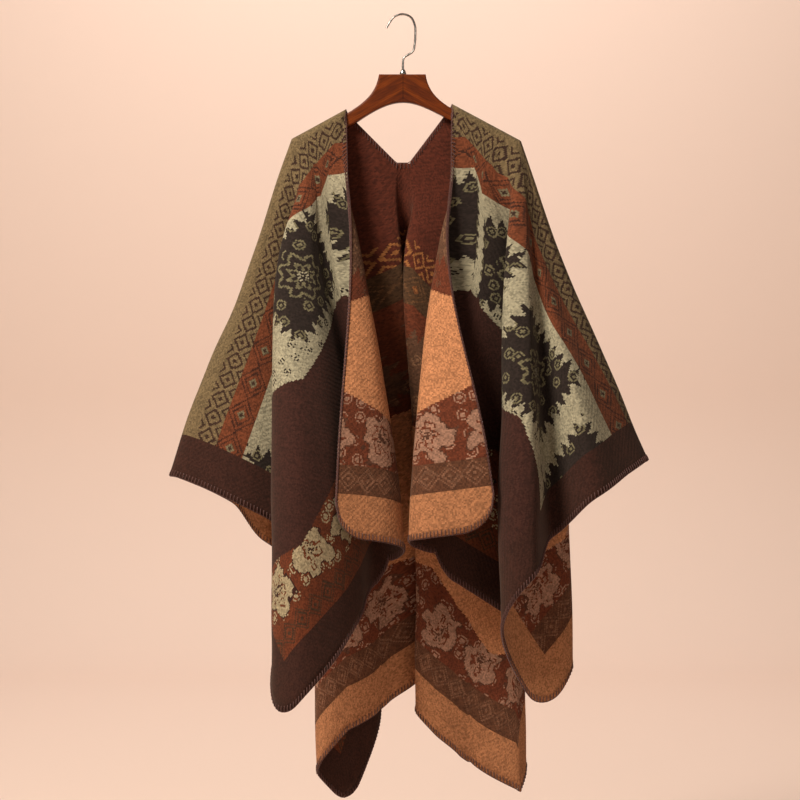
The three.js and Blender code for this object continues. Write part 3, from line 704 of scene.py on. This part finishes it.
    # Heathered yarn: each thread a little lighter or darker, drawn at 2.2 mm so that it shows.
    grain = add(tree, "TexWhiteNoise", {"Vector": threads}, noise_dimensions="3D", out="Value")
    grain = add(tree, "MapRange", {0: grain, 3: 0.66, 4: 1.34})
    nap = add(tree, "TexNoise", {"Vector": place, "Scale": 0.06, "Detail": 3.0}, out=0)
    nap = add(tree, "MapRange", {0: nap, 1: 0.3, 2: 0.7, 3: 0.9, 4: 1.08})
    shade = add(tree, "Math", {0: grain, 1: nap}, operation="MULTIPLY")
    shaded = add(tree, "VectorMath", {0: colour, "Scale": shade}, operation="SCALE")

    # The twill's ribs and the nap's lumps stand up as a low bump.
    fine = add(tree, "TexNoise", {"Vector": place, "Scale": 0.5, "Detail": 2.0}, out=0)
    rib = add(
        tree,
        "TexWave",
        {"Vector": place, "Scale": 0.07, "Distortion": 1.5},
        bands_direction="DIAGONAL",
        out=1,
    )
    relief = add(tree, "Math", {0: fine, 1: rib}, operation="ADD")
    bump = add(tree, "Bump", {"Height": relief, "Strength": 0.35, "Distance": 0.0006})
    surface = tree.nodes["Principled BSDF"]
    tree.links.new(shaded, surface.inputs["Base Color"])
    tree.links.new(bump, surface.inputs["Normal"])
    surface.inputs["Roughness"].default_value = 0.95
    surface.inputs["Specular IOR Level"].default_value = 0.2
    surface.inputs["Sheen Weight"].default_value = 0.08
    surface.inputs["Sheen Roughness"].default_value = 0.6
    surface.inputs["Sheen Tint"].default_value = linear(colours["sheen"])
    return cloth


# Wool and polyester blanket yarns: khaki, sage, rust, charcoal and dark brown on the face; rust brown,
# tan and a dusty pink on the reverse.
face_cloth = jacquard(
    "wool_jacquard_face",
    {
        "plain": "#68583e",
        "line": "#33221a",
        "band": "#663620",
        "band line": "#3a1f15",
        "band figure": "#68604a",
        "field": "#938d76",
        "block": "#251d1a",
        "block figure": "#676149",
        "wide band": "#361d17",
        "flower ground": "#5c2d18",
        "flower": "#93866a",
        "flower line": "#331a14",
        "low": "#5c2d18",
        "low line": "#3c2a1c",
        "border": "#341c15",
        "sheen": "#d8c8b4",
    },
)
reverse_cloth = jacquard(
    "wool_jacquard_reverse",
    {
        "plain": "#4b2115",
        "line": "#85552f",
        "band": "#45301f",
        "band line": "#5d4029",
        "band figure": "#6d4226",
        "field": "#5c2d1b",
        "block": "#553a2a",
        "block figure": "#70513b",
        "wide band": "#b07852",
        "flower ground": "#5f2f1d",
        "flower": "#8f6b58",
        "flower line": "#4d2f22",
        "low": "#553524",
        "low line": "#6e4c39",
        "border": "#9c6a48",
        "sheen": "#e0c4a8",
    },
)
cape_mesh.materials.append(face_cloth)
cape_mesh.materials.append(reverse_cloth)
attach(cape, "root")
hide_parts("front_left", "front_right", "back")


# Blanket stitching. One thick dark brown wool yarn is sewn over every edge of the cape: a stitch each
# 5.5 mm that reaches 8 mm in on both faces, and a purl that runs along the edge from stitch to stitch.
STITCH_APART = 5.5
STITCH_REACH = 8.0
YARN = 0.8


def reach_in(chains, distance):
    """For each chain of points that starts at the edge, the point at a distance along it."""
    found = np.zeros((len(chains), 3))
    for i, chain in enumerate(chains):
        run = np.concatenate([[0], np.cumsum(np.linalg.norm(np.diff(chain, axis=0), axis=1))])
        for k in range(3):
            found[i, k] = np.interp(distance, run, chain[:, k])
    return found


def even_along(tracks, apart):
    """The tracks resampled together at even distances along the first one."""
    run = np.concatenate([[0], np.cumsum(np.linalg.norm(np.diff(tracks[0], axis=0), axis=1))])
    count = max(2, int(run[-1] / apart))
    at = np.linspace(0, run[-1], count + 1)
    return [np.stack([np.interp(at, run, track[:, k]) for k in range(3)], axis=1) for track in tracks]


def along_edge(edge_outer, edge_inner, in_outer, in_inner):
    """The yarn's corners: one U over the edge for each stitch, and the purl's line outside the edge."""
    tracks = [
        (edge_outer + edge_inner) / 2,
        edge_outer,
        edge_inner,
        reach_in(in_outer, STITCH_REACH),
        reach_in(in_inner, STITCH_REACH),
    ]
    middle, top, bottom, far_top, far_bottom = even_along(tracks, STITCH_APART)
    lift = top - bottom
    lift /= np.maximum(np.linalg.norm(lift, axis=1, keepdims=True), 1e-9)
    away = middle - (far_top + far_bottom) / 2
    away /= np.maximum(np.linalg.norm(away, axis=1, keepdims=True), 1e-9)
    stitches = np.stack(
        [
            far_top + lift * 0.1,
            (far_top + top) / 2 + lift * YARN * 0.9,
            top + lift * YARN * 0.7,
            middle + away * YARN * 0.9,
            bottom - lift * YARN * 0.7,
            (far_bottom + bottom) / 2 - lift * YARN * 0.9,
            far_bottom - lift * 0.1,
        ],
        axis=1,
    )
    purl = middle + away * YARN
    return stitches, purl


outer_top, inner_top = outer[:, 0], inner[:, 0]
edges = []
edges.append((outer[:, -1], inner[:, -1], outer[:, ::-1][:, :4], inner[:, ::-1][:, :4]))
for first, step in ((0, 1), (lines - 1, -1)):
    inward = slice(first, first + 16 * step, step)
    edges.append(
        (outer[first], inner[first], outer[inward].transpose(1, 0, 2), inner[inward].transpose(1, 0, 2))
    )
on_neck = line_v > 0
left_neck = np.arange(0, left_ridge_line)[on_neck[:left_ridge_line]]
back_neck = np.arange(left_ridge_line, right_ridge_line)[on_neck[left_ridge_line:right_ridge_line]]
right_neck = np.arange(right_ridge_line, lines)[on_neck[right_ridge_line:]]
for neck in (left_neck, back_neck, right_neck):
    edges.append((outer[neck, 0], inner[neck, 0], outer[neck, :14], inner[neck, :14]))


def tube(path, radius, sides, points, faces):
    """Adds a closed tube of yarn round a path to the lists of corners and faces."""
    path = np.asarray(path)
    ahead = np.gradient(path, axis=0)
    ahead /= np.maximum(np.linalg.norm(ahead, axis=1, keepdims=True), 1e-9)
    beside = np.cross(ahead, [0.31, 0.87, 0.38])
    beside /= np.maximum(np.linalg.norm(beside, axis=1, keepdims=True), 1e-9)
    upright = np.cross(beside, ahead)
    start = len(points)
    for centre, b, c in zip(path, beside, upright):
        for k in range(sides):
            turn = 2 * math.pi * k / sides
            points.append((centre + radius * (b * math.cos(turn) + c * math.sin(turn))) / 1000)
    for j in range(len(path) - 1):
        for k in range(sides):
            a = start + j * sides + k
            b = start + j * sides + (k + 1) % sides
            faces.append((a, b, b + sides, a + sides))
    faces.append(tuple(start + k for k in range(sides))[::-1])
    end = start + (len(path) - 1) * sides
    faces.append(tuple(end + k for k in range(sides)))


yarn_points = []
yarn_faces = []
for edge in edges:
    stitches, purl = along_edge(*edge)
    for stitch in stitches:
        tube(stitch, YARN * chance.uniform(0.85, 1.1), 5, yarn_points, yarn_faces)
    tube(purl, YARN * 0.95, 5, yarn_points, yarn_faces)
yarn_mesh = bpy.data.meshes.new("blanket_stitch")
yarn_mesh.from_pydata([tuple(point) for point in yarn_points], [], yarn_faces)
yarn_mesh.polygons.foreach_set("use_smooth", [True] * len(yarn_faces))
yarn_mesh.update()
blanket_stitch = bpy.data.objects.new("blanket_stitch", yarn_mesh)
bpy.context.scene.collection.objects.link(blanket_stitch)

# Dark brown wool yarn, plied and a little hairy: matt, with a faint lighter sheen.
wool_yarn = bpy.data.materials.new("plied_wool_yarn")
wool_yarn.use_nodes = True
tree = wool_yarn.node_tree
where = add(tree, "NewGeometry", out="Position")
ply = add(tree, "TexNoise", {"Vector": where, "Scale": 900.0, "Detail": 2.0}, out=0)
tone = add(tree, "Mix", {0: ply, 6: linear("#3a1f1b"), 7: linear("#5d342c")}, out=2, data_type="RGBA")
bump = add(tree, "Bump", {"Height": ply, "Strength": 0.5, "Distance": 0.0004})
surface = tree.nodes["Principled BSDF"]
tree.links.new(tone, surface.inputs["Base Color"])
tree.links.new(bump, surface.inputs["Normal"])
surface.inputs["Roughness"].default_value = 0.9
surface.inputs["Sheen Weight"].default_value = 0.2
yarn_mesh.materials.append(wool_yarn)
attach(blanket_stitch, "root")


# The hanger's wood. Two flat halves of a reddish hardwood are glued down the middle with their grain
# running out along the arms, then sanded round at the edges, stained and varnished.
varnished_wood = bpy.data.materials.new("stained_varnished_hardwood")
varnished_wood.use_nodes = True
tree = varnished_wood.node_tree
where = add(tree, "NewGeometry", out="Position")
split = add(tree, "SeparateXYZ", {0: where})
x, y, z = split.node.outputs[0], split.node.outputs[1], split.node.outputs[2]
mirrored = add(tree, "Math", {0: x}, operation="ABSOLUTE")
half = add(tree, "CombineXYZ", {0: mirrored, 1: y, 2: z})
along_arm = add(tree, "VectorRotate", {"Vector": half, "Angle": -0.49}, rotation_type="Y_AXIS")
drawn_out = add(tree, "VectorMath", {0: along_arm, 1: (7.0, 90.0, 90.0)}, operation="MULTIPLY")
streaks = add(tree, "TexNoise", {"Vector": drawn_out, "Scale": 1.0, "Detail": 5.0, "Distortion": 0.6}, out=0)
pores = add(tree, "VectorMath", {0: along_arm, 1: (60.0, 900.0, 900.0)}, operation="MULTIPLY")
pores = add(tree, "TexNoise", {"Vector": pores, "Scale": 1.0, "Detail": 2.0}, out=0)
stain = add(tree, "ValToRGB", {0: streaks})
ramp = stain.node.color_ramp
ramp.elements[0].position = 0.32
ramp.elements[0].color = linear("#4a1d08")
ramp.elements[1].position = 0.7
ramp.elements[1].color = linear("#86400f")
middle_stop = ramp.elements.new(0.5)
middle_stop.color = linear("#662c08")
dark_pores = add(tree, "MapRange", {0: pores, 1: 0.35, 2: 0.6, 3: 0.6, 4: 1.05})
joint_line = add(tree, "MapRange", {0: mirrored, 1: 0.0002, 2: 0.0008, 3: 0.35, 4: 1.0})
darker = add(tree, "Math", {0: dark_pores, 1: joint_line}, operation="MULTIPLY")
toned = add(tree, "VectorMath", {0: stain, "Scale": darker}, operation="SCALE")
bump = add(tree, "Bump", {"Height": pores, "Strength": 0.12, "Distance": 0.0003})
surface = tree.nodes["Principled BSDF"]
tree.links.new(toned, surface.inputs["Base Color"])
tree.links.new(bump, surface.inputs["Normal"])
surface.inputs["Roughness"].default_value = 0.4
surface.inputs["Specular IOR Level"].default_value = 0.2
surface.inputs["Coat Weight"].default_value = 0.08
surface.inputs["Coat Roughness"].default_value = 0.2
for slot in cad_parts["hanger_wood"].material_slots:
    slot.material = varnished_wood


# The hook and its ferrule. Drawn steel wire 3.4 mm thick, bent and screwed into a turned steel collar,
# both bright plated.
plated_steel = bpy.data.materials.new("plated_steel_wire")
plated_steel.use_nodes = True
tree = plated_steel.node_tree
where = add(tree, "NewGeometry", out="Position")
drawn = add(tree, "TexNoise", {"Vector": where, "Scale": 260.0, "Detail": 3.0}, out=0)
tone = add(tree, "Mix", {0: drawn, 6: linear("#8d8a86"), 7: linear("#b9b5af")}, out=2, data_type="RGBA")
rubbed = add(tree, "MapRange", {0: drawn, 1: 0.3, 2: 0.7, 3: 0.2, 4: 0.36})
surface = tree.nodes["Principled BSDF"]
tree.links.new(tone, surface.inputs["Base Color"])
tree.links.new(rubbed, surface.inputs["Roughness"])
surface.inputs["Metallic"].default_value = 1.0
for node in ("hanger_hook", "hook_ferrule"):
    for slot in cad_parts[node].material_slots:
        slot.material = plated_steel


# The room: a pale floor that curves up into the wall behind, one piece of matt peach paper.
FLOOR = -1.45
profile = [(-3.4, FLOOR), (3.3, FLOOR)]
for k in range(1, 13):
    turn = k / 12 * math.pi / 2
    profile.append((3.3 + 0.9 * math.sin(turn), FLOOR + 0.9 * (1 - math.cos(turn))))
profile.append((4.2, 3.4))
paper_points = []
paper_faces = []
for py, pz in profile:
    paper_points += [(-5.0, py, pz), (5.0, py, pz)]
for k in range(len(profile) - 1):
    paper_faces.append((2 * k, 2 * k + 1, 2 * k + 3, 2 * k + 2))
paper_mesh = bpy.data.meshes.new("paper_backdrop")
paper_mesh.from_pydata(paper_points, [], paper_faces)
paper_mesh.polygons.foreach_set("use_smooth", [True] * len(paper_faces))
paper = bpy.data.objects.new("paper_backdrop", paper_mesh)
bpy.context.scene.collection.objects.link(paper)
matt_paper = bpy.data.materials.new("matt_paper")
matt_paper.use_nodes = True
matt_paper.node_tree.nodes["Principled BSDF"].inputs["Base Color"].default_value = linear("#ecd5c7")
matt_paper.node_tree.nodes["Principled BSDF"].inputs["Roughness"].default_value = 1.0
matt_paper.node_tree.nodes["Principled BSDF"].inputs["Specular IOR Level"].default_value = 0.0
paper_mesh.materials.append(matt_paper)


def soft_light(name, place, toward, width, power, colour):
    """A square studio light that faces a point."""
    lamp = bpy.data.lights.new(name, "AREA")
    lamp.size = width
    lamp.energy = power
    lamp.color = linear(colour)[:3]
    stand = bpy.data.objects.new(name, lamp)
    stand.location = place
    bpy.context.scene.collection.objects.link(stand)
    direction = np.array(toward) - np.array(place)
    stand.rotation_euler = (
        math.atan2(math.hypot(direction[0], direction[1]), -direction[2]),
        0,
        math.atan2(direction[1], direction[0]) - math.pi / 2,
    )


soft_light("left_key", (-1.9, -2.1, 2.0), (0, 0, -0.5), 1.1, 200, "#fff3e4")
soft_light("front_fill", (1.6, -3.0, 0.2), (0, 0, -0.6), 1.6, 7, "#fff2e8")
soft_light("wall_wash", (-0.1, 2.5, 2.6), (0.3, 4.2, -0.7), 2.6, 82, "#fffaf6")
room = bpy.data.worlds.new("pale_room")
room.use_nodes = True
room.node_tree.nodes["Background"].inputs["Color"].default_value = linear("#fff0e4")
room.node_tree.nodes["Background"].inputs["Strength"].default_value = 0.13
bpy.context.scene.world = room
bpy.context.scene.view_settings.view_transform = "Standard"


# The camera stands level, 3 m in front of the cape, and takes in 1.2 m.
lens = bpy.data.cameras.new("camera")
lens.sensor_width = 36
lens.lens = 90
camera = bpy.data.objects.new("camera", lens)
camera.location = (-0.0045, -3.0, -0.577)
camera.rotation_euler = (math.pi / 2, 0, 0)
bpy.context.scene.collection.objects.link(camera)
bpy.context.scene.camera = camera
